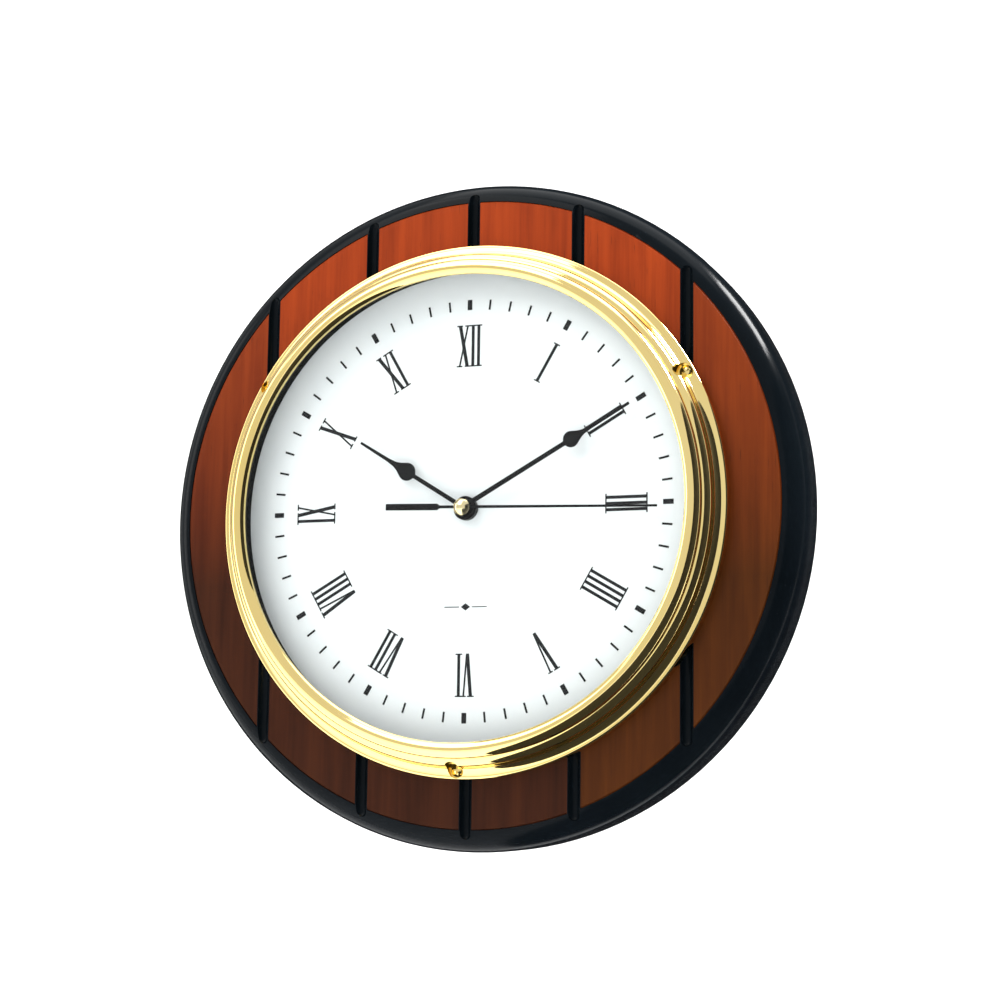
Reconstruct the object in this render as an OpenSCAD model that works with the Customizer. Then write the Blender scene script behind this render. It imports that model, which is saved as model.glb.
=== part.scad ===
// Ship's deck clock: a round planked plaque carrying a brass porthole clock.
// Every piece is drawn in the face frame: x right, y up, z out from the wall.
// z = 0 is the wall plane and the hands turn about the z axis.
// Module face() stands that frame upright: +Z up, the dial facing -Y.

/* [Backboard] */
// Diameter over the lacquered rim
board_d = 235; // [180:1:300]
// Thickness of the board, wall to wood face
board_t = 21; // [15:0.5:28]
// Radius of the quarter-round on the front of the rim
rim_round = 9; // [4:0.5:12]
// Diameter of the planked circle
planked_d = 219.6; // [160:0.2:290]
// Thickness of one plank
plank_t = 3; // [2:0.5:5]
// Distance from one seam to the next
seam_pitch = 38.8; // [25:0.1:45]
// Width of the black rib between two planks
rib_w = 4.6; // [3:0.1:7]
// Radius of the ball-nosed groove along each rib
seam_r = 2; // [1:0.1:3]
// How far each groove runs on past the planked circle
seam_runout = 1.6; // [0:0.1:3]
// Diameter of the hole behind the movement
board_bore = 88; // [82:1:110]

/* [Case ring] */
// Diameter over the flange
flange_d = 185.4; // [150:1:220]
// Height of the flange lip above the wood
flange_t = 4.9; // [3:0.1:6]
// Height of the shoulder above the wood
shoulder_h = 11.3; // [8:0.1:16]
// Radius of the hollow and of the round that make the ogee
ogee_r = 3.2; // [2:0.1:4]
// Diameter of the bore that takes the glass bezel
case_bore = 169.2; // [140:0.2:190]
// Diameter of the opening behind the dial
shelf_bore = 156; // [120:1:170]

/* [Bezel and glass] */
// Diameter of the opening in front of the glass
lip_bore = 161; // [130:1:180]
// Radius of the rolled bead
bead_r = 3; // [2:0.1:4]
// Thickness of the skirt that reaches down to the dial
skirt_t = 1.05; // [0.8:0.05:2]
// Thickness of the glass
glass_t = 2; // [1.5:0.1:3]
// Thickness of the sealing ring behind the glass
gasket_t = 1.4; // [1:0.1:2]

/* [Dial] */
// Height of the dial face above the wood
dial_h = 2.5; // [2:0.1:6]
// Thickness of the dial plate
dial_t = 0.8; // [0.5:0.1:1.5]
// Radius to the middle of the minute marks
track_r = 72; // [50:0.5:80]
// Length of a minute mark
mark_len = 3.6; // [2:0.1:6]
// Width of a plain minute mark
mark_w = 0.7; // [0.3:0.05:1]
// Width of a five-minute mark
five_w = 1.7; // [0.8:0.1:2.5]
// Radius to the middle of the numerals
numeral_r = 57.4; // [40:0.1:70]
// Height of the numerals
numeral_h = 14.8; // [8:0.1:18]
// Thickness of the printed ink
ink_t = 0.1; // [0.05:0.05:0.2]

/* [Hands] */
// Angle of the hour hand, clockwise from twelve
hour_angle = 301.8; // [0:0.1:360]
// Angle of the minute hand, clockwise from twelve
minute_angle = 60.7; // [0:0.1:360]
// Angle of the second hand, clockwise from twelve
second_angle = 91.6; // [0:0.1:360]
// Length of the hour hand
hour_len = 46.2; // [35:0.1:52]
// Length of the minute hand
minute_len = 68.1; // [55:0.1:75]
// Length of the second hand
second_len = 69.6; // [55:0.1:78]
// Thickness of the hour and minute hands
hand_t = 0.4; // [0.3:0.05:0.8]

/* [Movement] */
// Side of the square movement
move_w = 56; // [50:0.5:60]
// Depth of the movement behind its front face
move_t = 16; // [14:0.5:18]
// Wall thickness of the movement cup
move_wall = 1.4; // [1:0.1:2]
// Thickness of the front plate
front_t = 1.2; // [1:0.1:2]
// Outer radius of the threaded bushing through the dial
bushing_r = 3.4; // [3:0.1:4]
// Radius of the battery
cell_r = 7.1; // [6.9:0.1:7.2]
// Length of the battery without its nub
cell_len = 48.9; // [47:0.1:49.2]

/* [Gears] */
// Module of the cannon pinion, minute wheel and setting pinion
motion_mod = 0.4; // [0.3:0.01:0.5]
// Module of the third wheel and second pinion
third_mod = 0.27; // [0.2:0.01:0.35]
// Module of the second wheel and intermediate pinion
second_mod = 0.34; // [0.3:0.01:0.4]
// Module of the intermediate wheel and rotor pinion
rotor_mod = 0.25; // [0.2:0.01:0.3]
// Tooth thickness taken off each gear as backlash
backlash = 0.04; // [0.02:0.01:0.08]

/* [Hanger] */
// Height of the keyhole plate above the centre
hanger_y = 84; // [60:1:95]
// Radius of the keyhole entry
key_r = 4.5; // [3:0.1:6]
// Radius of the keyhole neck
neck_r = 2.2; // [1.5:0.1:3]
// Rise from the entry to the end of the neck
key_rise = 9; // [6:0.5:12]

/* [Hidden] */
eps = 0.01;
board_r = board_d / 2;
planked_r = planked_d / 2;
seams = [for (i = [-2:2]) i * seam_pitch];
seam_z = board_t + 0.2;

dial_z = board_t + dial_h;
dial_back = dial_z - dial_t;
case_r = case_bore / 2;
flange_r = flange_d / 2;
flange_z = board_t + flange_t;
shoulder_z = board_t + shoulder_h;
case_screw_r = 89.6;
case_screws_at = [61, 181, 301];
screw_seat_z = board_t + 2.6;

bead_z = shoulder_z + 0.7;
bead_mid = 82.9;
skirt_r = case_r - 0.05;
rehaut_r = skirt_r - skirt_t;
lip_r = lip_bore / 2;
glass_front = shoulder_z + 1.2;
glass_back = glass_front - glass_t;

washer_t = 0.8;
front_z = dial_back - washer_t;
plate_z = front_z - front_t;
cup_z = front_z - move_t;
half = move_w / 2;
room = half - move_wall;
floor_z = cup_z + 1.2;
bay_top = -11.9;
chamber_y = -10.9;
cell_y = (bay_top - room) / 2;
cell_z = 0.2 + cell_r;
bushing_top = dial_z + 2.6;
tooth_pressure = 20;

hanger_w = 40;
hanger_h = 24;
hanger_t = 1.5;

// Wheel centres inside the movement
third_a = 170;
motion_a = 110;
inter_a = 50;
third_d = third_mod * (8 + 60) / 2;
centre_mod = third_d * 2 / (8 + 64);
motion_d = motion_mod * (12 + 36) / 2;
hour_mod = motion_d * 2 / (10 + 40);
inter_d = second_mod * (8 + 48) / 2;
rotor_d = rotor_mod * (8 + 40) / 2;
third_at = polar(third_d, third_a);
motion_at = polar(motion_d, motion_a);
inter_at = polar(inter_d, inter_a);
rotor_at = inter_at + polar(rotor_d, inter_a);
knob_a = 150;
knob_at = motion_at + polar(motion_d, knob_a);

// Tooth directions, each set so that its gear meshes with its neighbour
third_phase = meshed(0, 8, 60, third_a);
centre_phase = meshed(0, 8, 64, third_a + 180);
inter_phase = meshed(0, 48, 8, inter_a);
rotor_phase = meshed(0, 40, 8, inter_a);
motion_phase = meshed(0, 12, 36, motion_a);
hour_phase = meshed(0, 10, 40, motion_a + 180);
knob_phase = meshed(motion_phase, 36, 12, knob_a);

// Levels of the train, out from the back of the movement
bridge_z = 3.4;
bridge_t = 1;
pivot_low = 3.6;
pivot_high = plate_z - cup_z + 0.5;
posts = [[-19, -7], [16, -7], [-19, 15.5]];
coil_y = 22;
coil_z = 6.6;
stator_z = 5.1;
circuit_z = 1.8;
circuit_pegs = [[6, -6], [22, 14]];

// Thin strokes and serifs of the numerals
thin_w = 0.6;
serif_t = 0.45;

// Levels of the hands, out from the wall
hour_hand_z = dial_z + 2.9;
minute_hand_z = dial_z + 4.0;
second_hand_z = dial_z + 5.1;

lacquer = [0.03, 0.04, 0.06];
wood = [0.55, 0.2, 0.08];
brass = [0.86, 0.7, 0.32];
black = [0.05, 0.05, 0.06];
steel = [0.7, 0.71, 0.73];
resin = [0.9, 0.9, 0.86];

function polar(r, a) = [r * cos(a), r * sin(a)];
function involute(a) = tan(a) * 180 / PI - a;

// Direction of a tooth on the second gear that lets it mesh with the first,
// which has a tooth at phase; a is the direction from the first to the second.
function meshed(phase, z1, z2, a) = a + 180 - 360 / z2 * (0.5 - (a - phase) * z1 / 360);

// Half angle of a tooth at radius r
function half_tooth(r, z, m, shift) =
    (90 + 2 * shift * tan(tooth_pressure) * 180 / PI) / z
    - backlash / (m * z) * 180 / PI + involute(tooth_pressure)
    - involute(acos(min(1, m * z / 2 * cos(tooth_pressure) / r)));

// Radii and half angles up one flank of a tooth
function flank(z, m, shift, tip) =
    let (pitch = m * z / 2, base = pitch * cos(tooth_pressure),
         root = pitch - m * (1.25 - shift), top = pitch + m * (tip + shift),
         low = max(base, root))
    [[root, half_tooth(low, z, m, shift)],
     for (i = [0:3]) let (r = low + (top - low) * i / 3) [r, half_tooth(r, z, m, shift)]];

module face() {
    rotate([90, 0, 0]) children();
}

// Pieces inside the movement, placed by their height from its back
module inside() {
    face() translate([0, 0, cup_z]) children();
}

module at(p, z = 0) {
    translate([p[0], p[1], z]) children();
}

module ring(outer, inner, h) {
    difference() {
        cylinder(h = h, r = outer);
        translate([0, 0, -1]) cylinder(h = h + 2, r = inner);
    }
}

module gear(z, m, shift, tip, h, phase) {
    side = flank(z, m, shift, tip);
    last = len(side) - 1;
    linear_extrude(height = h)
        polygon([for (k = [0:z - 1]) let (c = phase + 360 * k / z)
            each [for (i = [0:last]) polar(side[i][0], c - side[i][1]),
                  for (i = [last:-1:0]) polar(side[i][0], c + side[i][1])]]);
}

module rounded_block(w, h, r) {
    linear_extrude(height = h) {
        square([w - 2 * r, w], center = true);
        square([w, w - 2 * r], center = true);
        for (x = [-1, 1], y = [-1, 1]) translate([x, y] * (w / 2 - r)) circle(r = r);
    }
}

module box(x0, x1, y0, y1, z0, z1) {
    translate([x0, y0, z0]) cube([x1 - x0, y1 - y0, z1 - z0]);
}

// ---------- plaque ----------

module board_blank() {
    rotate_extrude() difference() {
        union() {
            square([board_r - rim_round, board_t]);
            square([board_r, board_t - rim_round]);
            translate([board_r - rim_round, board_t - rim_round]) circle(r = rim_round);
        }
        translate([-rim_round - 1, -1]) square([rim_round + 1, board_t + 2]);
        polygon([[board_r - 2, -1], [board_r + 1, -1], [board_r + 1, 2]]);
    }
}

module seam_groove(x) {
    end = sqrt(pow(planked_r, 2) - x * x) + seam_runout;
    translate([x, 0, seam_z]) {
        rotate([90, 0, 0]) cylinder(h = 2 * end, r = seam_r, center = true);
        for (s = [-1, 1]) translate([0, s * end, 0]) sphere(r = seam_r);
    }
}

module backboard() {
    color(lacquer) face() difference() {
        board_blank();
        difference() {
            translate([0, 0, board_t - plank_t]) cylinder(h = plank_t + 1, r = planked_r);
            for (x = seams) translate([x - rib_w / 2, -board_r, 0]) cube([rib_w, board_d, board_t]);
        }
        for (x = seams) seam_groove(x);
        translate([0, 0, -1]) cylinder(h = board_t + 2, d = board_bore);
        for (a = case_screws_at) at(polar(case_screw_r, 90 - a), 7) cylinder(h = board_t, r = 1.55);
        hanger_recess();
    }
}

// Plank i from the left, between two heights on the board
module plank(i, low = -board_r, high = board_r) {
    left = i == 0 ? -board_r : seams[i - 1] + rib_w / 2 + 0.05;
    right = i == 5 ? board_r : seams[i] - rib_w / 2 - 0.05;
    color(wood) face() difference() {
        intersection() {
            box(left, right, low, high, board_t - plank_t, board_t);
            rotate_extrude() polygon([[0, 0], [planked_r - 0.05, 0], [planked_r - 0.05, board_t - 0.5],
                [planked_r - 0.55, board_t], [0, board_t]]);
        }
        cylinder(h = board_t + 1, d = board_bore);
        for (a = case_screws_at) at(polar(case_screw_r, 90 - a)) cylinder(h = board_t + 1, r = 1.55);
    }
}

module plank_1() { plank(0); }
module plank_2() { plank(1); }
module plank_3_upper() { plank(2, low = 0); }
module plank_3_lower() { plank(2, high = 0); }
module plank_4_upper() { plank(3, low = 0); }
module plank_4_lower() { plank(3, high = 0); }
module plank_5() { plank(4); }
module plank_6() { plank(5); }

// ---------- hanger ----------

module hanger_recess() {
    translate([0, hanger_y, 0]) {
        translate([-hanger_w / 2 - 0.2, -hanger_h / 2 - 0.2, -1])
            cube([hanger_w + 0.4, hanger_h + 0.4, hanger_t + 1]);
        translate([-6, -9.5, 0]) cube([12, 19, 9]);
        for (x = [-14, 14]) translate([x, 0, 0]) cylinder(h = 11, r = 1.05);
    }
}

module hanger_plate() {
    color(steel) face() translate([0, hanger_y, 0]) difference() {
        translate([-hanger_w / 2, -hanger_h / 2, 0]) cube([hanger_w, hanger_h, hanger_t]);
        translate([0, -key_rise / 2, -1]) cylinder(h = hanger_t + 2, r = key_r);
        translate([0, key_rise / 2, -1]) cylinder(h = hanger_t + 2, r = neck_r);
        translate([-neck_r, -key_rise / 2, -1]) cube([2 * neck_r, key_rise, hanger_t + 2]);
        for (x = [-14, 14]) translate([x, 0, -eps]) {
            cylinder(h = hanger_t + 1, r = 1.15);
            cylinder(h = 1, r1 = 2.15, r2 = 1.15);
        }
    }
}

module hanger_screws() {
    color(steel) face() for (x = [-14, 14]) translate([x, hanger_y, 0]) difference() {
        union() {
            cylinder(h = 1, r1 = 2.05, r2 = 1.0);
            cylinder(h = 8.5, r = 1.0);
            translate([0, 0, 8.5]) cylinder(h = 1.5, r1 = 1.0, r2 = 0.3);
        }
        for (a = [0, 90]) rotate([0, 0, a]) translate([-1.3, -0.25, -1]) cube([2.6, 0.5, 1.6]);
    }
}

// ---------- porthole case ----------

module case_ring() {
    round_r = case_r + 0.8;
    color(brass) face() difference() {
        rotate_extrude() difference() {
            union() {
                translate([shelf_bore / 2, board_t]) square([flange_r - shelf_bore / 2 - 0.8, dial_back - board_t]);
                translate([case_r, board_t]) square([flange_r - 0.8 - case_r, flange_t + ogee_r]);
                translate([flange_r - 1, board_t]) square([1, flange_t - 0.8]);
                translate([flange_r - 0.8, flange_z - 0.8]) circle(r = 0.8);
                translate([case_r, board_t]) square([round_r + ogee_r - case_r, shoulder_h - ogee_r]);
                translate([case_r, board_t]) square([round_r - case_r, shoulder_h]);
                translate([round_r, shoulder_z - ogee_r]) circle(r = ogee_r);
            }
            translate([round_r + 2 * ogee_r, flange_z + ogee_r]) circle(r = ogee_r);
            translate([round_r + 2 * ogee_r, flange_z]) square([4, ogee_r + 1]);
            translate([case_r - 8, dial_back]) square([8, shoulder_h + 1]);
        }
        for (a = case_screws_at) at(polar(case_screw_r, 90 - a)) {
            cylinder(h = flange_z, r = 1.6);
            translate([0, 0, screw_seat_z]) cylinder(h = 20, r = 2.8);
        }
    }
}

module case_screws() {
    color(brass) face() for (a = case_screws_at) at(polar(case_screw_r, 90 - a)) difference() {
        union() {
            intersection() {
                translate([0, 0, screw_seat_z]) cylinder(h = 1.7, r = 2.3);
                translate([0, 0, screw_seat_z + 1.7 - 3.6]) sphere(r = 3.6);
            }
            translate([0, 0, 10]) cylinder(h = screw_seat_z - 9.9, r = 1.5);
            translate([0, 0, 8]) cylinder(h = 2, r1 = 0.4, r2 = 1.5);
        }
        for (s = [0, 90]) rotate([0, 0, s - a]) translate([-1.4, -0.3, screw_seat_z + 0.9])
            cube([2.8, 0.6, 2]);
    }
}

module glass_bezel() {
    color(brass) face() rotate_extrude() difference() {
        union() {
            translate([rehaut_r, dial_z]) square([skirt_t, bead_z - dial_z]);
            translate([rehaut_r, shoulder_z + 0.2]) square([bead_mid + bead_r - rehaut_r, bead_z - shoulder_z - 0.2]);
            translate([lip_r, glass_front]) square([bead_mid - lip_r, 1.2]);
            intersection() {
                translate([bead_mid, bead_z]) circle(r = bead_r);
                translate([lip_r, bead_z]) square([8, 8]);
            }
        }
        translate([lip_r - 3, dial_z - 1]) square([rehaut_r - lip_r + 3, glass_front - dial_z + 1]);
    }
}

module glass() {
    color([0.85, 0.92, 0.95, 0.3]) face()
        translate([0, 0, glass_back]) cylinder(h = glass_t, r = rehaut_r - 0.1);
}

module glass_gasket() {
    color(black) face() translate([0, 0, glass_back - gasket_t])
        ring(rehaut_r - 0.03, rehaut_r - 1.7, gasket_t);
}

// ---------- dial ----------

module dial() {
    color([0.96, 0.97, 0.98]) face() translate([0, 0, dial_back])
        ring(case_r - 0.1, bushing_r + 0.2, dial_t);
}

// One slanted stroke, w wide, from x = top at the head to x = foot at the base
module stroke(top, foot, w) {
    polygon([[top - w / 2, numeral_h / 2], [top + w / 2, numeral_h / 2],
        [foot + w / 2, -numeral_h / 2], [foot - w / 2, -numeral_h / 2]]);
}

module serif(x, w, end) {
    translate([x - w / 2, end > 0 ? numeral_h / 2 - serif_t : -numeral_h / 2]) square([w, serif_t]);
}

function advance(c) = c == "I" ? 2.1 : c == "V" ? 4.3 : 4.8;
function width(s, n) = n == 0 ? 0 : width(s, n - 1) + advance(s[n - 1]);

module letter(c) {
    if (c == "I") {
        stroke(0, 0, 1.05);
        for (e = [-1, 1]) serif(0, 2.5, e);
    }
    if (c == "V") {
        stroke(-1.25, 0.05, 1.2);
        stroke(1.4, 0.3, thin_w);
        serif(-1.25, 2.4, 1);
        serif(1.4, 1.8, 1);
    }
    if (c == "X") {
        stroke(-1.4, 1.4, 1.25);
        stroke(1.5, -1.5, thin_w);
        for (e = [-1, 1]) {
            serif(-1.5, 2.1, e);
            serif(1.5, 2.1, e);
        }
    }
}

module numeral(s) {
    linear_extrude(height = ink_t)
        for (i = [0:len(s) - 1])
            translate([width(s, i) + advance(s[i]) / 2 - width(s, len(s)) / 2, 0]) letter(s[i]);
}

module dial_print() {
    hours = ["XII", "I", "II", "III", "IIII", "V", "VI", "VII", "VIII", "IX", "X", "XI"];
    color(black) face() translate([0, 0, dial_z]) {
        for (k = [0:59]) rotate([0, 0, -6 * k]) translate([0, track_r, ink_t / 2])
            cube([k % 5 == 0 ? five_w : mark_w, mark_len, ink_t], center = true);
        for (k = [0:11]) rotate([0, 0, -30 * k]) translate([0, numeral_r, 0]) numeral(hours[k]);
        translate([0, -34, 0]) {
            for (s = [-1, 1]) translate([s * 5.1, 0, ink_t / 2]) cube([5.4, 0.3, ink_t], center = true);
            linear_extrude(height = ink_t) polygon([[-1.7, 0], [0, 1.25], [1.7, 0], [0, -1.25]]);
        }
    }
}

// ---------- hands ----------

module teardrop_hand(len, hub, bulb_at, bulb, arm, tip) {
    circle(r = hub);
    translate([0, bulb_at]) circle(r = bulb);
    polygon([[-arm / 2, 0], [-arm / 2 * 0.9, bulb_at], [arm / 2 * 0.9, bulb_at], [arm / 2, 0]]);
    polygon([[-bulb * 0.93, bulb_at], [-bulb * 0.8, bulb_at + bulb * 0.62],
        [-bulb * 0.5, bulb_at + bulb * 1.15], [-bulb * 0.3, bulb_at + bulb * 1.75],
        [-tip * 0.7, bulb_at + bulb * 2.7], [-tip / 2, len], [tip / 2, len],
        [tip * 0.7, bulb_at + bulb * 2.7], [bulb * 0.3, bulb_at + bulb * 1.75],
        [bulb * 0.5, bulb_at + bulb * 1.15], [bulb * 0.8, bulb_at + bulb * 0.62], [bulb * 0.93, bulb_at]]);
}

module hour_hand() {
    color(black) face() rotate([0, 0, -hour_angle]) translate([0, 0, hour_hand_z]) difference() {
        linear_extrude(height = hand_t) teardrop_hand(hour_len, 3.7, 25.3, 3.15, 1.6, 0.9);
        translate([0, 0, -1]) cylinder(h = 3, r = 2.51);
    }
}

module minute_hand() {
    color(black) face() rotate([0, 0, -minute_angle]) translate([0, 0, minute_hand_z]) difference() {
        linear_extrude(height = hand_t) teardrop_hand(minute_len, 3.1, 44.7, 2.8, 1.7, 0.9);
        translate([0, 0, -1]) cylinder(h = 3, r = 1.86);
    }
}

module second_hand() {
    color(black) face() rotate([0, 0, -second_angle]) translate([0, 0, second_hand_z]) difference() {
        union() {
            linear_extrude(height = 0.3) {
                circle(r = 1.6);
                polygon([[-0.5, 0], [-0.38, second_len], [0.38, second_len], [0.5, 0]]);
                polygon([[-0.5, 0], [-0.5, -8.2], [-1.15, -9], [-1.15, -28.3],
                    [1.15, -28.3], [1.15, -9], [0.5, -8.2], [0.5, 0]]);
            }
            translate([0, 0, -0.4]) cylinder(h = 0.7, r = 1.1);
        }
        translate([0, 0, -2]) cylinder(h = 4, r = 0.51);
    }
}

module hand_cap() {
    color(brass) face() translate([0, 0, second_hand_z + 0.3]) difference() {
        intersection() {
            cylinder(h = 1.4, r = 2.95);
            translate([0, 0, -2.7]) sphere(r = 4.1);
        }
        translate([0, 0, -1]) cylinder(h = 1.7, r = 0.53);
    }
}

// ---------- movement: housing ----------

module movement_cup() {
    floor_t = floor_z - cup_z;
    color(black) inside() {
        difference() {
            rounded_block(move_w, plate_z - cup_z, 3);
            box(-room, room, chamber_y, room, floor_t, move_t);
            box(-room, room, -room, bay_top, -1, move_t);
            at(knob_at, -1) cylinder(h = 4, r = 1.3);
            for (x = [-room, room - 1.1]) box(x, x + 1.1, bay_top - 1, chamber_y + 1, 4.6, 8.6);
        }
        for (p = circuit_pegs) at(p, floor_t - 0.2) {
            cylinder(h = circuit_z - floor_t + 0.2, r = 1.3);
            cylinder(h = circuit_z - floor_t + 1.6, r = 0.6);
        }
    }
}

module movement_plate() {
    inner = plate_z - cup_z;
    color(black) inside() difference() {
        union() {
            translate([0, 0, inner]) rounded_block(move_w, front_t, 3);
            translate([0, 0, inner]) cylinder(h = bushing_top - plate_z, r = bushing_r);
            for (p = posts) at(p) {
                translate([0, 0, bridge_z + bridge_t]) cylinder(h = inner - bridge_z - bridge_t + eps, r = 1.1);
                translate([0, 0, bridge_z - 0.3]) cylinder(h = bridge_t + 1, r = 0.6);
            }
        }
        translate([0, 0, inner - 1]) cylinder(h = 20, r = 2.57);
        for (p = [third_at, motion_at, inter_at, rotor_at]) at(p, inner - 1) cylinder(h = 1.7, r = 0.45);
        at(knob_at, inner - 1) cylinder(h = 1.7, r = 0.65);
    }
}

module train_bridge() {
    color(resin) inside() difference() {
        box(-20.8, 17.6, -8.5, 17.5, bridge_z, bridge_z + bridge_t);
        for (p = posts) at(p, bridge_z - 1) cylinder(h = 3, r = 0.62);
        for (p = [third_at, motion_at, inter_at, rotor_at]) at(p, bridge_z - 1) cylinder(h = 3, r = 0.45);
        translate([0, 0, bridge_z - 1]) cylinder(h = 3, r = 0.55);
        at(knob_at, bridge_z - 1) cylinder(h = 3, r = 1.06);
    }
}

module rubber_washer() {
    color(black) face() translate([0, 0, front_z]) ring(8.5, bushing_r + 0.02, washer_t);
}

module collar_nut() {
    color(black) face() translate([0, 0, dial_z]) ring(4.15, bushing_r + 0.02, 2.2);
}

// ---------- movement: motor and electronics ----------

module stator() {
    color(steel) inside() translate([0, 0, stator_z]) linear_extrude(height = 1) difference() {
        union() {
            translate(rotor_at) circle(r = 4.6);
            translate([-8.5, 15]) square([16.5, 2.6]);
            translate([-8.5, 15]) square([2.5, 8.6]);
            translate([12, 11.9]) square([2.5, 11.7]);
        }
        translate(rotor_at) circle(r = 3.1);
    }
}

module coil_core() {
    color(steel) inside() box(-8.5, 14.5, coil_y - 1.2, coil_y + 1.2, coil_z - 0.5, coil_z + 0.5);
}

module coil_bobbin() {
    color(resin) inside() difference() {
        translate([-5.5, coil_y, coil_z]) rotate([0, 90, 0]) {
            cylinder(h = 17, r = 1.9);
            cylinder(h = 0.8, r = 3.6);
            translate([0, 0, 16.2]) cylinder(h = 0.8, r = 3.6);
        }
        box(-7, 13, coil_y - 1.25, coil_y + 1.25, coil_z - 0.55, coil_z + 0.55);
    }
}

module coil_winding() {
    color([0.72, 0.35, 0.15]) inside()
        translate([-4.65, coil_y, coil_z]) rotate([0, 90, 0]) ring(3.3, 1.92, 15.3);
}

module circuit_board() {
    color([0.1, 0.35, 0.2]) inside() difference() {
        box(2.2, 25.6, -9.6, 17.6, circuit_z, circuit_z + 1);
        for (p = circuit_pegs) at(p, circuit_z - 1) cylinder(h = 3, r = 0.62);
    }
}

module driver_chip() {
    color(black) inside() at([21.5, 6], circuit_z + 1) intersection() {
        cylinder(h = 1.2, r = 2.3);
        translate([0, 0, -1.6]) sphere(r = 2.8);
    }
}

module quartz_crystal() {
    color(steel) inside() translate([21.5, -7.5, circuit_z + 2]) rotate([-90, 0, 0]) {
        cylinder(h = 6, r = 1);
        translate([0, 0, 6]) cylinder(h = 0.8, r = 0.7);
    }
}

module positive_contact() {
    color(brass) inside() {
        box(room - 0.45, room - 0.05, -24, bay_top - 0.3, 2.6, 11.6);
        box(room - 0.45, room - 0.05, bay_top - 0.4, -6, 5, 8.2);
        box(room - 2, room - 0.05, -6.4, -6, 5, 8.2);
        box(room - 2, room - 1.6, -6.4, -6, circuit_z + 1, 8.2);
    }
}

module negative_contact() {
    color(brass) inside() {
        box(-room + 0.05, -room + 0.45, -24, bay_top - 0.3, 2.6, 11.6);
        box(-room + 0.05, -room + 0.45, bay_top - 0.4, chamber_y + 0.5, 5, 8.2);
        box(-room + 0.05, 4, chamber_y + 0.1, chamber_y + 0.5, 5, 8.2);
        box(3.6, 4, chamber_y + 0.1, chamber_y + 2, 5, 8.2);
        box(3.6, 4, chamber_y + 1.6, chamber_y + 2, circuit_z + 1, 8.2);
        translate([0, cell_y, cell_z]) rotate([0, -90, 0])
            translate([0, 0, room - 2.25]) cylinder(h = 1.85, r1 = 1.6, r2 = 3.6);
    }
}

module battery() {
    color([0.75, 0.55, 0.2]) inside() translate([2.3 - room, cell_y, cell_z]) rotate([0, 90, 0]) {
        cylinder(h = cell_len, r = cell_r);
        translate([0, 0, cell_len]) cylinder(h = 1.45, r = 2.7);
    }
}

// ---------- movement: running train ----------

// A thin arbor from the train bridge to the front plate
module arbor() {
    translate([0, 0, pivot_low]) cylinder(h = pivot_high - pivot_low, r = 0.4);
}

module rotor() {
    color(steel) inside() at(rotor_at) {
        arbor();
        translate([0, 0, 4.8]) cylinder(h = 1.6, r = 2.6);
        translate([0, 0, 6.4]) gear(8, rotor_mod, 0.5, 0.85, 1.3, rotor_phase);
    }
}

module intermediate_wheel() {
    color(resin) inside() at(inter_at) {
        arbor();
        translate([0, 0, 6.8]) gear(40, rotor_mod, -0.5, 1, 0.6, 0);
        translate([0, 0, 7.3]) gear(8, second_mod, 0.5, 0.85, 1.6, inter_phase);
    }
}

module second_wheel() {
    color(resin) inside() {
        translate([0, 0, pivot_low]) cylinder(h = second_hand_z - cup_z + 0.8 - pivot_low, r = 0.5);
        translate([0, 0, 8.1]) gear(48, second_mod, -0.5, 1, 0.6, 0);
        translate([0, 0, 8.6]) gear(8, third_mod, 0.5, 0.85, 1.1, 0);
    }
}

module third_wheel() {
    color(resin) inside() at(third_at) {
        arbor();
        translate([0, 0, 9]) gear(60, third_mod, -0.5, 1, 0.6, third_phase);
        translate([0, 0, 9.5]) gear(8, centre_mod, 0.5, 0.85, 1.4, 0);
    }
}

module centre_wheel() {
    color(resin) inside() difference() {
        translate([0, 0, 10.1]) {
            gear(64, centre_mod, -0.5, 1, 0.6, centre_phase);
            cylinder(h = 1.3, r = 2.6);
        }
        translate([0, 0, 9]) cylinder(h = 4, r = 1.53);
    }
}

module minute_pipe() {
    color(brass) inside() difference() {
        union() {
            translate([0, 0, 9.9]) cylinder(h = 2, r = 1.5);
            translate([0, 0, 11.6]) cylinder(h = minute_hand_z - cup_z + hand_t + 0.2 - 11.6, r = 1.85);
            translate([0, 0, 11.6]) gear(12, motion_mod, 0.3, 1, 1.3, 0);
        }
        translate([0, 0, 9]) cylinder(h = 20, r = 0.55);
    }
}

module minute_wheel() {
    color(resin) inside() at(motion_at) {
        arbor();
        translate([0, 0, 11.8]) gear(36, motion_mod, -0.3, 1, 0.7, motion_phase);
        translate([0, 0, 12.4]) gear(10, hour_mod, 0.4, 0.9, 1.7, 0);
    }
}

module hour_wheel() {
    color(brass) inside() difference() {
        translate([0, 0, 13.2]) {
            gear(40, hour_mod, -0.4, 1, 0.7, hour_phase);
            cylinder(h = hour_hand_z - cup_z + hand_t + 0.2 - 13.2, r = 2.5);
        }
        translate([0, 0, 12]) cylinder(h = 20, r = 1.92);
    }
}

module setting_knob() {
    color(resin) inside() at(knob_at) {
        translate([0, 0, -2.4]) difference() {
            cylinder(h = 1.8, r = 4.5);
            for (k = [0:11]) rotate([0, 0, 30 * k]) translate([4.7, 0, -1]) cylinder(h = 4, r = 0.6);
        }
        translate([0, 0, -2.4]) cylinder(h = 15.2, r = 1);
        translate([0, 0, 11.8]) gear(12, motion_mod, 0.3, 1, 1, knob_phase);
        translate([0, 0, 11.8]) cylinder(h = pivot_high - 11.8, r = 0.6);
    }
}

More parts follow.
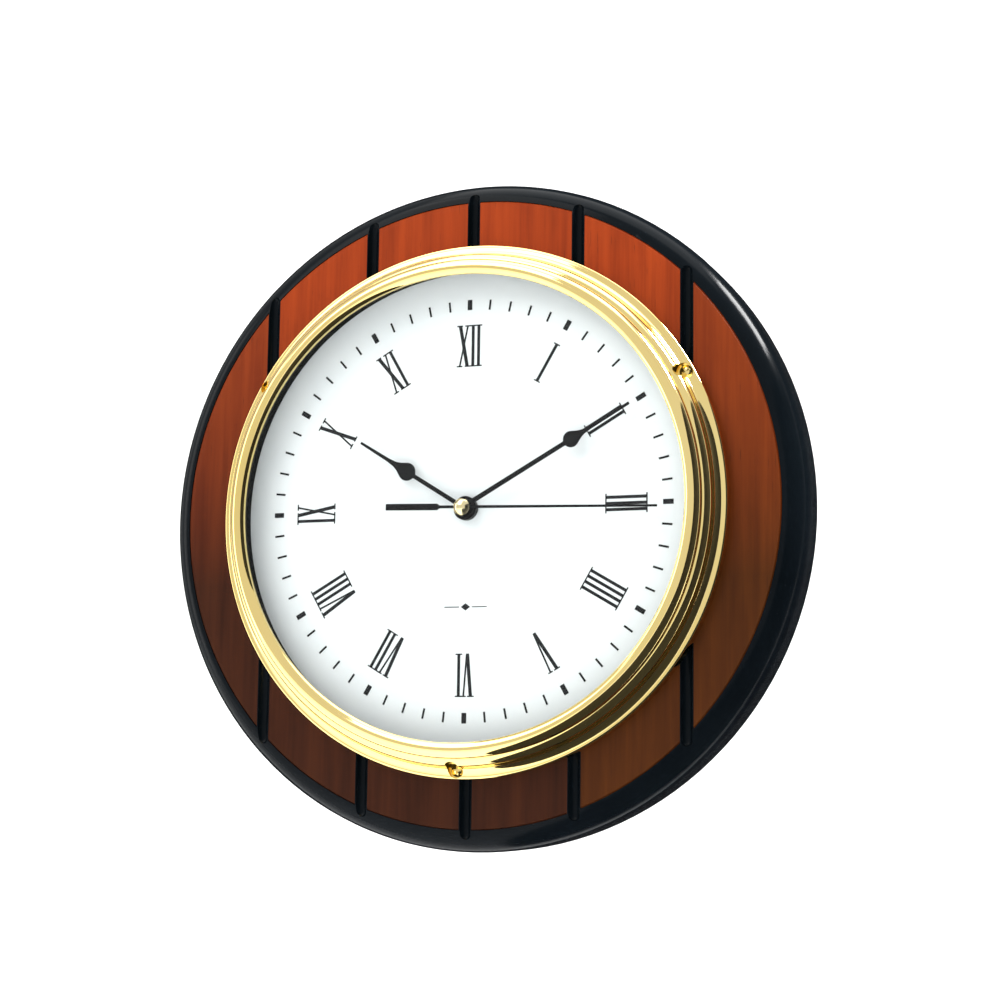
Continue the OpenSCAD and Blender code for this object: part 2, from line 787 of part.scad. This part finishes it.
backboard();
plank_1();
plank_2();
plank_3_upper();
plank_3_lower();
plank_4_upper();
plank_4_lower();
plank_5();
plank_6();
hanger_plate();
hanger_screws();
case_ring();
case_screws();
glass_bezel();
glass();
glass_gasket();
dial();
dial_print();
hour_hand();
minute_hand();
second_hand();
hand_cap();
movement_cup();
movement_plate();
train_bridge();
rubber_washer();
collar_nut();
stator();
coil_core();
coil_bobbin();
coil_winding();
circuit_board();
driver_chip();
quartz_crystal();
positive_contact();
negative_contact();
battery();
rotor();
intermediate_wheel();
second_wheel();
third_wheel();
centre_wheel();
minute_pipe();
minute_wheel();
hour_wheel();
setting_knob();
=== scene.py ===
"""Looks of the ship's deck clock: finishes, fine pieces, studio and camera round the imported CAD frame."""

import math

import bmesh
import bpy
from mathutils import Matrix, Vector


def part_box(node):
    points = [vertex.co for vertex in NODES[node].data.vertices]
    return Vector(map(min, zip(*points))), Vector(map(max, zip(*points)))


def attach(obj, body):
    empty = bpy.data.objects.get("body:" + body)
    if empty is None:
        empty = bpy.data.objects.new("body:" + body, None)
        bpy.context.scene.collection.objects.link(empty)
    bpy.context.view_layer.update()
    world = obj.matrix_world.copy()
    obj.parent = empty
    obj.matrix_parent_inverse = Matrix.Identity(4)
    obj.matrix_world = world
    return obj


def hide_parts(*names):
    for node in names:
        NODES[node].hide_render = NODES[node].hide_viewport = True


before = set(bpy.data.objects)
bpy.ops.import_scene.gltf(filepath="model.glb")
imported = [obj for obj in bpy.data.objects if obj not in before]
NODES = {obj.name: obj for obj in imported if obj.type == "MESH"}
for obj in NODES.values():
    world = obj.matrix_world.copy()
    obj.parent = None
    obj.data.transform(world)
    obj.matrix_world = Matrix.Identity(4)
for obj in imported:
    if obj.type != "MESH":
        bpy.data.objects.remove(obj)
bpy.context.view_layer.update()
MM = 0.001

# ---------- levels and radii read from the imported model, in metres ----------


def reach(node):
    """Largest distance of a node's box from the axis that the hands turn about."""
    low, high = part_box(node)
    return max(abs(low.x), abs(high.x), abs(low.z), abs(high.z))


WOOD = -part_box("plank_2")[0].y              # the wood's face, out from the wall
DIAL_BACK = -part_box("dial")[1].y
DIAL_FACE = -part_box("dial")[0].y
SHOULDER = -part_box("case_ring")[0].y
BEAD_TOP = -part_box("glass_bezel")[0].y
CAP_BASE, CAP_TOP = (-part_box("hand_cap")[k].y for k in (1, 0))
FLANGE_R = reach("case_ring")
BEAD_EDGE_R = reach("glass_bezel")
BORE_R = reach("dial") + 0.1 * MM           # the case ring's bore, just over the dial
CAP_R = reach("hand_cap")

# Sizes of the turned profiles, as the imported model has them
LIP_H = 4.9 * MM                            # flange lip above the wood
LIP_ROUND = 0.8 * MM
OGEE_R = 3.2 * MM
SHELF_R = 78.0 * MM
BEAD_R = 3.0 * MM
SKIRT_T = 1.05 * MM
GLASS_HOLE_R = 80.5 * MM
SCREW_R = 89.6 * MM                         # circle of the three case screws
SCREWS_AT = (61, 181, 301)                  # clockwise from twelve
SCREW_HOLE_R = 1.6 * MM
SCREW_SEAT_R = 2.8 * MM
SCREW_SEAT = WOOD + 2.6 * MM
BOARD_BORE_R = 44.0 * MM

# ---------- node helpers ----------


class Tree:
    """A material's node tree, with short calls for the nodes used here."""

    def __init__(self, name):
        self.material = bpy.data.materials.new(name)
        self.material.use_nodes = True
        self.tree = self.material.node_tree
        self.bsdf = self.tree.nodes["Principled BSDF"]
        self.out = self.tree.nodes["Material Output"]
        self.coords = self.add("ShaderNodeTexCoord").outputs["Object"]

    def add(self, kind, **inputs):
        """A new node, its inputs given by name with _ for a space."""
        node = self.tree.nodes.new(kind)
        for key, value in inputs.items():
            self.feed(node.inputs[key.replace("_", " ")], value)
        return node

    def feed(self, socket, value):
        """Links a socket to an output, or sets it to a plain value."""
        if isinstance(value, bpy.types.NodeSocket):
            self.tree.links.new(value, socket)
        else:
            socket.default_value = value

    def set(self, **inputs):
        """Feeds the main shader's sockets."""
        for key, value in inputs.items():
            self.feed(self.bsdf.inputs[key.replace("_", " ")], value)

    def spread(self, scale, source=None):
        """Object coordinates, or a source made from them, scaled along each axis."""
        node = self.add("ShaderNodeMapping", Vector=self.coords if source is None else source)
        node.inputs["Scale"].default_value = scale
        return node.outputs["Vector"]

    def noise(self, vector, scale, detail=4.0, rough=0.55, warp=0.0):
        node = self.add("ShaderNodeTexNoise", Vector=vector, Scale=scale, Detail=detail,
                        Roughness=rough, Distortion=warp)
        return node.outputs["Fac"]

    def ramp(self, value, *stops):
        """A colour ramp through (position, colour or grey) stops."""
        node = self.add("ShaderNodeValToRGB", Fac=value)
        marks = node.color_ramp.elements
        while len(marks) < len(stops):
            marks.new(0.5)
        for mark, (at, colour) in zip(marks, stops):
            mark.position = at
            mark.color = (*colour, 1) if isinstance(colour, tuple) else (colour,) * 3 + (1,)
        return node.outputs["Color"]

    def range(self, value, low, high, to_low, to_high):
        node = self.add("ShaderNodeMapRange", Value=value)
        for key, number in zip(("From Min", "From Max", "To Min", "To Max"), (low, high, to_low, to_high)):
            node.inputs[key].default_value = number
        return node.outputs["Result"]

    def mix(self, share, a, b, blend="MIX"):
        node = self.add("ShaderNodeMix")
        node.data_type, node.blend_type = "RGBA", blend
        for socket, value in ((node.inputs[0], share), (node.inputs[6], a), (node.inputs[7], b)):
            if isinstance(value, tuple) and len(value) == 3:
                value = (*value, 1)
            self.feed(socket, value)
        return node.outputs[2]

    def math(self, operation, a, b):
        node = self.add("ShaderNodeMath")
        node.operation = operation
        self.feed(node.inputs[0], a)
        self.feed(node.inputs[1], b)
        return node.outputs["Value"]

    def from_axis(self):
        """Distance from the axis that the hands turn about."""
        node = self.add("ShaderNodeVectorMath", Vector=self.spread((1, 0, 1)))
        node.operation = "LENGTH"
        return node.outputs["Value"]

    def out_from_wall(self):
        """Distance in front of the wall plane."""
        parts = self.add("ShaderNodeSeparateXYZ", Vector=self.coords)
        return self.math("MULTIPLY", parts.outputs["Y"], -1.0)

    def bump(self, height, strength, distance):
        node = self.add("ShaderNodeBump", Height=height, Strength=strength, Distance=distance)
        self.feed(self.bsdf.inputs["Normal"], node.outputs["Normal"])


def plastic(name, colour, rough=0.42, texture=900.0, depth=0.04 * MM, shine=0.5):
    """Moulded plastic: a fine spark-eroded texture and faint blotches."""
    t = Tree(name)
    blotch = t.noise(t.coords, 90.0, 3.0)
    dark = tuple(c * 0.86 for c in colour)
    light = tuple(min(1.0, c * 1.12 + 0.002) for c in colour)
    t.set(Base_Color=t.ramp(blotch, (0.3, dark), (0.7, light)), Specular_IOR_Level=shine,
          Roughness=t.range(blotch, 0.25, 0.75, rough - 0.06, rough + 0.08))
    t.bump(t.noise(t.coords, texture, 2.0), 0.35, depth)
    return t.material


def metal(name, colour, dull, rough=0.16, along=(1, 1, 1), grain=220.0, depth=0.01 * MM, wear=0.06):
    """Plated or drawn metal: streaked polish along one direction, and a faint tarnish."""
    t = Tree(name)
    tarnish = t.noise(t.coords, 38.0, 5.0, 0.6)
    streak = t.noise(t.spread(along), grain, 4.0, 0.6)
    t.set(Base_Color=t.ramp(tarnish, (0.32, dull), (0.62, colour)), Metallic=1.0,
          Roughness=t.range(streak, 0.25, 0.8, rough - wear / 2, rough + wear))
    t.bump(streak, 0.25, depth)
    return t.material


def brass_plate(name="polished_brass", painted_shade=False):
    """Mirror-polished brass with lapping marks, smudges and fine pitting. The option adds painted shade:
    inside the bezel's skirt, behind the glass, the brass is coloured near black for the shade and dark
    reflections there."""
    t = Tree(name)
    tone = t.noise(t.coords, 16.0, 3.0)
    smudge = t.noise(t.coords, 55.0, 5.0, 0.65, 0.6)
    lap = t.noise(t.coords, 700.0, 3.0, 0.7)
    colour = t.ramp(tone, (0.3, (0.88, 0.67, 0.24)), (0.7, (0.94, 0.75, 0.32)))
    shine = t.range(smudge, 0.35, 0.75, 0.035, 0.09)
    if painted_shade:
        # Painted shade: the skirt's inside, between the dial and the glass, is coloured near black and
        # dulled
        shade_r = BORE_R - 1.0 * MM
        shade_top = SHOULDER + 1.15 * MM
        inside = t.range(t.from_axis(), shade_r, shade_r + 0.1 * MM, 1.0, 0.0)
        behind = t.range(t.out_from_wall(), shade_top, shade_top - 0.05 * MM, 0.0, 1.0)
        shade_mask = t.math("MULTIPLY", inside, behind)
        colour = t.mix(shade_mask, colour, (0.004, 0.004, 0.005))
        shine = t.mix(shade_mask, shine, (0.6, 0.6, 0.6))
        t.set(Metallic=t.math("SUBTRACT", 1.0, shade_mask), Specular_IOR_Level=0.08)
    else:
        t.set(Metallic=1.0)
    t.set(Base_Color=colour, Roughness=shine)
    t.bump(t.mix(0.25, lap, smudge), 0.08, 0.012 * MM)
    return t.material


def lacquered_board():
    """Blue-black gloss lacquer with a faint orange peel and settled dust. The back and the bore are
    raw fibreboard."""
    t = Tree("black_lacquer")
    cloud = t.noise(t.coords, 26.0, 3.0)
    speck = t.noise(t.coords, 1500.0, 1.0, 0.4)
    black = t.ramp(cloud, (0.3, (0.0018, 0.0030, 0.0042)), (0.7, (0.0030, 0.0048, 0.0066)))
    dust = t.ramp(speck, (0.76, 0.0), (0.82, 0.03))
    coat = t.mix(dust, black, (0.10, 0.11, 0.12))
    fleck = t.noise(t.coords, 1300.0, 3.0, 0.7)
    broad = t.noise(t.coords, 60.0, 4.0)
    fibre = t.mix(0.5, t.ramp(fleck, (0.3, (0.16, 0.105, 0.06)), (0.7, (0.34, 0.245, 0.155))),
                  t.ramp(broad, (0.3, (0.20, 0.14, 0.085)), (0.7, (0.28, 0.20, 0.13))))
    back = t.range(t.out_from_wall(), 0.8 * MM, 1.1 * MM, 1.0, 0.0)
    bore = t.range(t.from_axis(), BOARD_BORE_R + 0.3 * MM, BOARD_BORE_R + 0.5 * MM, 1.0, 0.0)
    bare = t.math("MAXIMUM", back, bore)
    gloss = t.range(cloud, 0.3, 0.7, 0.14, 0.20)
    peel = t.noise(t.coords, 240.0, 2.0, 0.5)
    t.set(Base_Color=t.mix(bare, coat, fibre), Specular_IOR_Level=0.06,
          Roughness=t.mix(bare, gloss, (0.85, 0.85, 0.85)))
    t.bump(t.mix(bare, peel, fleck), 0.10, 0.06 * MM)
    return t.material


def stained_wood(name, seed, light, dark, low_light, low_dark):
    """Satin mahogany stain, the grain upright: growth bands, fibres, short pores and cloudy stain."""
    t = Tree(name)
    shift = t.add("ShaderNodeMapping", Vector=t.coords)
    shift.inputs["Location"].default_value = (seed * 0.37, seed * 0.21, seed * 0.53)
    place = shift.outputs["Vector"]

    band = t.noise(t.spread((1, 1, 0.07), place), 190.0, 4.0, 0.55, 0.35)
    fibre = t.noise(t.spread((1, 1, 0.022), place), 950.0, 3.0, 0.6)
    pore = t.noise(t.spread((1, 1, 0.05), place), 1900.0, 2.0, 0.5)
    cloud = t.noise(place, 30.0, 3.0, 0.5, 0.4)
    top = t.ramp(band, (0.28, dark), (0.72, light))
    low = t.ramp(band, (0.28, low_dark), (0.72, low_light))
    height = t.add("ShaderNodeSeparateXYZ", Vector=t.coords).outputs["Z"]
    toned = t.mix(t.range(height, -25 * MM, 85 * MM, 1.0, 0.0), top, low)    # darker downwards
    fibred = t.mix(0.35, toned, t.ramp(fibre, (0.3, 0.52), (0.7, 1.0)), "MULTIPLY")
    clouded = t.mix(0.30, fibred, t.ramp(cloud, (0.3, 0.62), (0.7, 1.0)), "MULTIPLY")
    pored = t.mix(t.ramp(pore, (0.66, 0.0), (0.74, 0.55)), clouded, (0.030, 0.010, 0.004))
    t.set(Base_Color=pored, Roughness=t.range(fibre, 0.25, 0.75, 0.34, 0.48),
          Specular_IOR_Level=0.09, Coat_Weight=0.02, Coat_Roughness=0.2)
    t.bump(t.mix(0.4, fibre, t.ramp(pore, (0.66, 1.0), (0.74, 0.0))), 0.18, 0.06 * MM)
    return t.material


def enamel():
    """The dial's white paint: a cool tint, faint mottling and a satin skin."""
    t = Tree("dial_white")
    mottle = t.noise(t.coords, 70.0, 4.0)
    grain = t.noise(t.coords, 1600.0, 2.0)
    t.set(Base_Color=t.ramp(mottle, (0.3, (0.80, 0.83, 0.86)), (0.7, (0.825, 0.85, 0.875))),
          Roughness=t.range(grain, 0.3, 0.7, 0.42, 0.52))
    t.bump(grain, 0.12, 0.01 * MM)
    return t.material


def ink():
    """Printed ink: dense, with a slightly uneven coverage."""
    t = Tree("dial_ink")
    cover = t.noise(t.coords, 800.0, 3.0)
    t.set(Base_Color=t.ramp(cover, (0.3, (0.003, 0.0035, 0.005)), (0.7, (0.008, 0.0085, 0.011))),
          Roughness=t.range(cover, 0.3, 0.7, 0.38, 0.5), Specular_IOR_Level=0.2)
    return t.material


def clear_glass():
    """Float glass: see-through, with a reflection that grows towards grazing and a faint haze of dust."""
    t = Tree("float_glass")
    haze = t.noise(t.coords, 120.0, 4.0)
    clear = t.add("ShaderNodeBsdfTransparent", Color=(0.985, 0.995, 0.99, 1))
    shine = t.add("ShaderNodeBsdfGlossy", Roughness=t.range(haze, 0.4, 0.8, 0.0, 0.05))
    tilt = t.add("ShaderNodeLayerWeight", Blend=0.5).outputs["Facing"]
    blend = t.add("ShaderNodeMixShader", Fac=t.range(t.math("POWER", tilt, 5.0), 0.0, 1.0, 0.012, 0.9))
    t.tree.links.new(clear.outputs["BSDF"], blend.inputs[1])
    t.tree.links.new(shine.outputs["BSDF"], blend.inputs[2])
    t.tree.links.new(blend.outputs["Shader"], t.out.inputs["Surface"])
    t.tree.nodes.remove(t.bsdf)
    return t.material


def board_green():
    """Solder resist over copper tracks."""
    t = Tree("circuit_green")
    cell = t.add("ShaderNodeTexVoronoi", Vector=t.coords, Scale=420.0)
    cell.feature = "DISTANCE_TO_EDGE"
    track = t.ramp(cell.outputs["Distance"], (0.04, 1.0), (0.08, 0.0))
    t.set(Base_Color=t.mix(track, (0.010, 0.085, 0.035), (0.03, 0.20, 0.08)),
          Roughness=t.range(t.noise(t.coords, 700.0), 0.3, 0.7, 0.3, 0.42))
    t.bump(track, 0.3, 0.03 * MM)
    return t.material


def windings():
    """Enamelled copper wire laid turn by turn along the bobbin, with painted shade in the grooves between
    the turns.
    """
    t = Tree("copper_wire")
    wave = t.add("ShaderNodeTexWave", Vector=t.coords, Scale=1600.0, Distortion=0.6)
    wave.bands_direction = "X"
    # Painted shade: the colour ramp darkens the grooves between the turns, and the bump gives their relief
    t.set(Base_Color=t.ramp(wave.outputs["Fac"], (0.1, (0.30, 0.09, 0.03)), (0.7, (0.80, 0.36, 0.16))),
          Roughness=0.3, Metallic=1.0)
    t.bump(wave.outputs["Fac"], 0.6, 0.05 * MM)
    return t.material


def cell_wrap():
    """The battery's plain shrink sleeve: a dark body with a gold shoulder at the positive end."""
    t = Tree("cell_sleeve")
    along = t.add("ShaderNodeSeparateXYZ", Vector=t.coords).outputs["X"]
    shoulder = 8.5 * MM
    edge = shoulder + 0.5 * MM
    band = t.range(along, shoulder, edge, 0.0, 1.0)
    scuff = t.noise(t.coords, 260.0, 5.0, 0.7)
    t.set(Base_Color=t.mix(band, (0.012, 0.013, 0.016), (0.66, 0.37, 0.09)),
          Roughness=t.range(scuff, 0.3, 0.7, 0.24, 0.38),
          Metallic=t.range(along, shoulder, edge, 0.0, 0.8))
    t.bump(scuff, 0.08, 0.04 * MM)
    return t.material


BRASS = brass_plate()
BLACK_SATIN = plastic("hand_black", (0.0030, 0.0032, 0.0042), 0.30, 1400.0, 0.015 * MM, 0.12)
MOVEMENT_BLACK = plastic("movement_black", (0.022, 0.022, 0.025), 0.5)
RUBBER = plastic("rubber_black", (0.016, 0.016, 0.017), 0.72, 500.0, 0.06 * MM)
RESIN = plastic("gear_resin", (0.80, 0.79, 0.73), 0.38)
STEEL = metal("zinc_steel", (0.66, 0.67, 0.69), (0.45, 0.46, 0.49), 0.28, (1, 1, 0.05), 500.0, 0.02 * MM)
PLATE_BRASS = metal("spring_brass", (0.83, 0.62, 0.27), (0.60, 0.40, 0.14), 0.25, (1, 1, 0.1), 400.0)
CAP_BRASS = metal("cap_brass", (0.93, 0.80, 0.50), (0.85, 0.68, 0.36), 0.12, (1, 1, 1), 300.0)

# Tones: a light and a dark one at the top of the plaque, and another pair at its bottom, where the wood is
# darker
RED, RED_DARK = (0.365, 0.047, 0.0055), (0.250, 0.029, 0.0032)
RUST, RUST_DARK = (0.320, 0.047, 0.0070), (0.215, 0.028, 0.0040)
UMBER, UMBER_DARK = (0.052, 0.013, 0.0038), (0.027, 0.0065, 0.0020)
TEAK, TEAK_DARK = (0.080, 0.0205, 0.0020), (0.044, 0.0110, 0.0010)
PLANKS = {
    "plank_1": stained_wood("mahogany_1", 1, RUST, RUST_DARK, UMBER, UMBER_DARK),
    "plank_2": stained_wood("mahogany_2", 2, RED, RED_DARK, UMBER, UMBER_DARK),
    "plank_3_upper": stained_wood("mahogany_3", 3, RED, RED_DARK, UMBER, UMBER_DARK),
    "plank_4_upper": stained_wood("mahogany_4", 4, RED, RED_DARK, UMBER, UMBER_DARK),
    "plank_5": stained_wood("mahogany_5", 5, RED, RED_DARK, TEAK, TEAK_DARK),
    "plank_6": stained_wood("mahogany_6", 6, RUST, RUST_DARK, TEAK, TEAK_DARK),
}
PLANKS["plank_3_lower"] = PLANKS["plank_3_upper"]
PLANKS["plank_4_lower"] = PLANKS["plank_4_upper"]

FINISH = {
    **PLANKS,
    "backboard": lacquered_board(),
    "case_screws": BRASS,
    "glass": clear_glass(),
    "dial": enamel(),
    "dial_print": ink(),
    **dict.fromkeys(("hour_hand", "minute_hand", "second_hand", "collar_nut"), BLACK_SATIN),
    **dict.fromkeys(("movement_cup", "movement_plate", "driver_chip"), MOVEMENT_BLACK),
    **dict.fromkeys(("rubber_washer", "glass_gasket"), RUBBER),
    **dict.fromkeys(("train_bridge", "coil_bobbin", "intermediate_wheel", "second_wheel",
                     "third_wheel", "centre_wheel", "minute_wheel", "setting_knob"), RESIN),
    **dict.fromkeys(("hanger_plate", "hanger_screws", "stator", "coil_core", "quartz_crystal",
                     "rotor"), STEEL),
    **dict.fromkeys(("positive_contact", "negative_contact", "minute_pipe", "hour_wheel"), PLATE_BRASS),
    "coil_winding": windings(),
    "circuit_board": board_green(),
    "battery": cell_wrap(),
}
for node, finish in FINISH.items():
    mesh = NODES[node].data
    mesh.materials.clear()
    mesh.materials.append(finish)

# ---------- turned pieces ----------


def arc(radius, out, r, start, end, steps=10):
    """Points (radius, out from the wall) along a round of the profile, between two angles in degrees."""
    angles = (math.radians(start + (end - start) * k / steps) for k in range(steps + 1))
    return [(radius + r * math.cos(a), out + r * math.sin(a)) for a in angles]


def turned(name, profile, steps=288):
    """A closed profile turned once about the axis of the hands."""
    mesh = bpy.data.meshes.new(name)
    form = bmesh.new()
    rings = []
    for k in range(steps):
        a = 2 * math.pi * k / steps
        rings.append([form.verts.new((r * math.sin(a), -out, r * math.cos(a))) for r, out in profile])
    for k, ring in enumerate(rings):
        after = rings[(k + 1) % steps]
        for i, vertex in enumerate(ring):
            j = (i + 1) % len(ring)
            form.faces.new((vertex, ring[j], after[j], after[i]))
    bmesh.ops.remove_doubles(form, verts=form.verts, dist=1e-7)
    bmesh.ops.recalc_face_normals(form, faces=form.faces)
    form.to_mesh(mesh)
    form.free()
    piece = bpy.data.objects.new(name, mesh)
    bpy.context.scene.collection.objects.link(piece)
    return piece


def rod(radius, low, high, centre=(0, 0), steps=48):
    """A plain round cutter standing out from the wall."""
    tool = turned("cutter", [(0, low), (radius, low), (radius, high), (0, high)], steps)
    for vertex in tool.data.vertices:
        vertex.co.x += centre[0]
        vertex.co.z += centre[1]
    return tool


def cut(piece, tools):
    """Takes the tools out of the piece and deletes them."""
    for tool in tools:
        knife = piece.modifiers.new("cut", "BOOLEAN")
        knife.object, knife.operation, knife.solver = tool, "DIFFERENCE", "EXACT"
    settled = piece.evaluated_get(bpy.context.evaluated_depsgraph_get())
    piece.data = bpy.data.meshes.new_from_object(settled)
    piece.modifiers.clear()
    for tool in tools:
        bpy.data.objects.remove(tool)


def fit(piece, node, body, finish):
    """Gives a turned piece its finish and lets it stand for its CAD node."""
    piece.data.materials.clear()
    piece.data.materials.append(finish)
    piece.data.shade_smooth()
    piece.data.set_sharp_from_angle(angle=math.radians(32))
    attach(piece, body)
    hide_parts(node)


def case_ring():
    """The porthole's ring: a shelf for the dial, an ogee flange and three counterbored screw seats."""
    crest_r = BORE_R + 0.8 * MM
    hollow_r = crest_r + 2 * OGEE_R
    lip = WOOD + LIP_H
    profile = [(SHELF_R, WOOD), (SHELF_R, DIAL_BACK), (BORE_R, DIAL_BACK), (BORE_R, SHOULDER)]
    profile += arc(crest_r, SHOULDER - OGEE_R, OGEE_R, 90, 0)
    profile += arc(hollow_r, lip + OGEE_R, OGEE_R, 180, 270)[1:]
    profile += arc(FLANGE_R - LIP_ROUND, lip - LIP_ROUND, LIP_ROUND, 90, 0, 6)
    profile += [(FLANGE_R, WOOD)]
    ring = turned("porthole_ring", profile)
    tools = []
    for turn in SCREWS_AT:
        a = math.radians(turn)
        centre = (SCREW_R * math.sin(a), SCREW_R * math.cos(a))
        tools.append(rod(SCREW_HOLE_R, WOOD - 1 * MM, SCREW_SEAT + 0.1 * MM, centre))
        tools.append(rod(SCREW_SEAT_R, SCREW_SEAT, SHOULDER + 2 * MM, centre))
    cut(ring, tools)
    fit(ring, "case_ring", "clock", BRASS)


def glass_bezel():
    """The bezel: a thin skirt down to the dial, a rolled bead and the lip in front of the glass."""
    skirt = BORE_R - 0.05 * MM
    inner = skirt - SKIRT_T
    under_bead = SHOULDER + 0.2 * MM
    glass_front = SHOULDER + 1.2 * MM
    bead = BEAD_TOP - BEAD_R
    mid = BEAD_EDGE_R - BEAD_R
    profile = [(inner, DIAL_FACE), (skirt, DIAL_FACE), (skirt, under_bead), (BEAD_EDGE_R, under_bead)]
    at_lip = math.degrees(math.acos((GLASS_HOLE_R - mid) / BEAD_R))
    profile += arc(mid, bead, BEAD_R, 0, at_lip, 22)
    profile += [(GLASS_HOLE_R, glass_front), (inner, glass_front)]
    fit(turned("rolled_bezel", profile), "glass_bezel", "clock",
        brass_plate("bezel_brass", painted_shade=True))


def hand_cap():
    """The domed cap over the hands."""
    dome_r = 4.1 * MM
    low = CAP_TOP - dome_r
    side = math.degrees(math.acos(CAP_R / dome_r))
    pin_r, socket = 0.53 * MM, CAP_BASE + 0.7 * MM
    profile = [(0, socket), (pin_r, socket), (pin_r, CAP_BASE), (CAP_R, CAP_BASE)]
    profile += arc(0, low, dome_r, side, 90, 16)
    fit(turned("cap_dome", profile, 96), "hand_cap", "second_train", CAP_BRASS)


case_ring()
glass_bezel()
hand_cap()

# ---------- studio ----------


def card(name, points, faces, colour):
    """A matt surface of the studio."""
    mesh = bpy.data.meshes.new(name)
    mesh.from_pydata(points, [], faces)
    mesh.shade_smooth()
    surface = bpy.data.objects.new(name, mesh)
    bpy.context.scene.collection.objects.link(surface)
    material = bpy.data.materials.new(name)
    material.use_nodes = True
    bsdf = material.node_tree.nodes["Principled BSDF"]
    bsdf.inputs["Base Color"].default_value = (*colour, 1)
    bsdf.inputs["Roughness"].default_value = 0.95
    mesh.materials.append(material)
    return surface


def flag(name, points, faces):
    """A black card that only shows in reflections, as a photographer's flag kept out of the picture."""
    surface = card(name, points, faces, (0.004, 0.004, 0.005))
    surface.visible_camera = surface.visible_diffuse = surface.visible_shadow = False


def black_ring(name, out, inner, outer, steps=48):
    """A flat black ring behind the clock, which darkens the edges of the glossy rim."""
    angles = [2 * math.pi * k / steps for k in range(steps)]
    points = [(r * math.cos(a), out, r * math.sin(a)) for r in (inner, outer) for a in angles]
    pairs = [(k, (k + 1) % steps) for k in range(steps)]
    flag(name, points, [(k, after, steps + after, steps + k) for k, after in pairs])


def cove():
    """A pale floor that curves up into the wall behind the clock."""
    floor, front, wall, top, side, bend, steps = -0.42, -2.6, 1.7, 3.0, 4.0, 0.5, 12
    outline = [(front, floor), (wall - bend, floor)]
    for k in range(1, steps + 1):
        a = math.radians(90 * k / steps)
        outline.append((wall - bend + bend * math.sin(a), floor + bend - bend * math.cos(a)))
    outline.append((wall, top))
    points = [(x, y, z) for x in (-side, side) for y, z in outline]
    n = len(outline)
    card("studio_cove", points, [(k, k + 1, n + k + 1, n + k) for k in range(n - 1)], (0.93, 0.93, 0.93))


def lamp(name, at, target, size, power, colour=(1, 1, 1), tall=None):
    """A softbox that faces its target."""
    data = bpy.data.lights.new(name, "AREA")
    data.energy, data.color = power, colour
    data.shape, data.size, data.size_y = "RECTANGLE", size, tall or size
    light = bpy.data.objects.new(name, data)
    light.location = at
    light.rotation_mode = "QUATERNION"
    light.rotation_quaternion = (Vector(target) - Vector(at)).to_track_quat("-Z", "Y")
    bpy.context.scene.collection.objects.link(light)


cove()
# The right flag stands to the clock's right and folds under it
side, top, foot = 1.0, 0.72, -0.38
flag("right_flag", [(side, -1.9, top), (side, 0.25, top), (side, 0.25, foot), (side, -1.9, foot),
                    (-0.05, 0.12, foot), (-0.05, -1.2, foot)],
     [(0, 1, 2, 3), (3, 2, 4, 5)])
black_ring("rim_flag", out=0.3, inner=0.14, outer=0.8)
lamp("key_softbox", (-0.8, -1.25, 1.35), (0, 0, 0), 1.3, 19, (1.0, 0.985, 0.96))
lamp("left_strip", (-1.6, -0.5, 0.1), (0, 0, 0), 0.5, 8, (1.0, 0.98, 0.95), 1.8)
lamp("rim_softbox", (0.84, 0.14, 1.0), (0.1, -0.02, 0.06), 0.4, 36)
lamp("cove_wash", (0.0, 0.1, 2.4), (0.0, 1.7, 0.0), 2.2, 40)

scene = bpy.context.scene
scene.view_settings.view_transform = "Standard"
scene.world = bpy.data.worlds.new("studio_air")
scene.world.use_nodes = True
air = scene.world.node_tree.nodes["Background"].inputs
air["Color"].default_value = (1, 1, 1, 1)
air["Strength"].default_value = 0.85

# ---------- camera ----------

LENS = 72.3
CAMERA_AT = Vector((0.2508, -0.66401, -0.0919))
YAW, PITCH, ROLL = (math.radians(a) for a in (20.437, -7.872, 0.746))

camera = bpy.data.objects.new("camera", bpy.data.cameras.new("camera"))
scene.collection.objects.link(camera)
camera.data.sensor_width = 36.0
camera.data.lens = LENS
camera.data.clip_start, camera.data.clip_end = 0.05, 20.0
back = Vector((math.sin(YAW) * math.cos(PITCH), -math.cos(YAW) * math.cos(PITCH), math.sin(PITCH)))
level = (-back).cross(Vector((0, 0, 1))).normalized()
upright = level.cross(-back)
right = math.cos(ROLL) * level + math.sin(ROLL) * upright
up = math.cos(ROLL) * upright - math.sin(ROLL) * level
camera.matrix_world = Matrix.Translation(CAMERA_AT) @ Matrix((right, up, back)).transposed().to_4x4()
scene.camera = camera
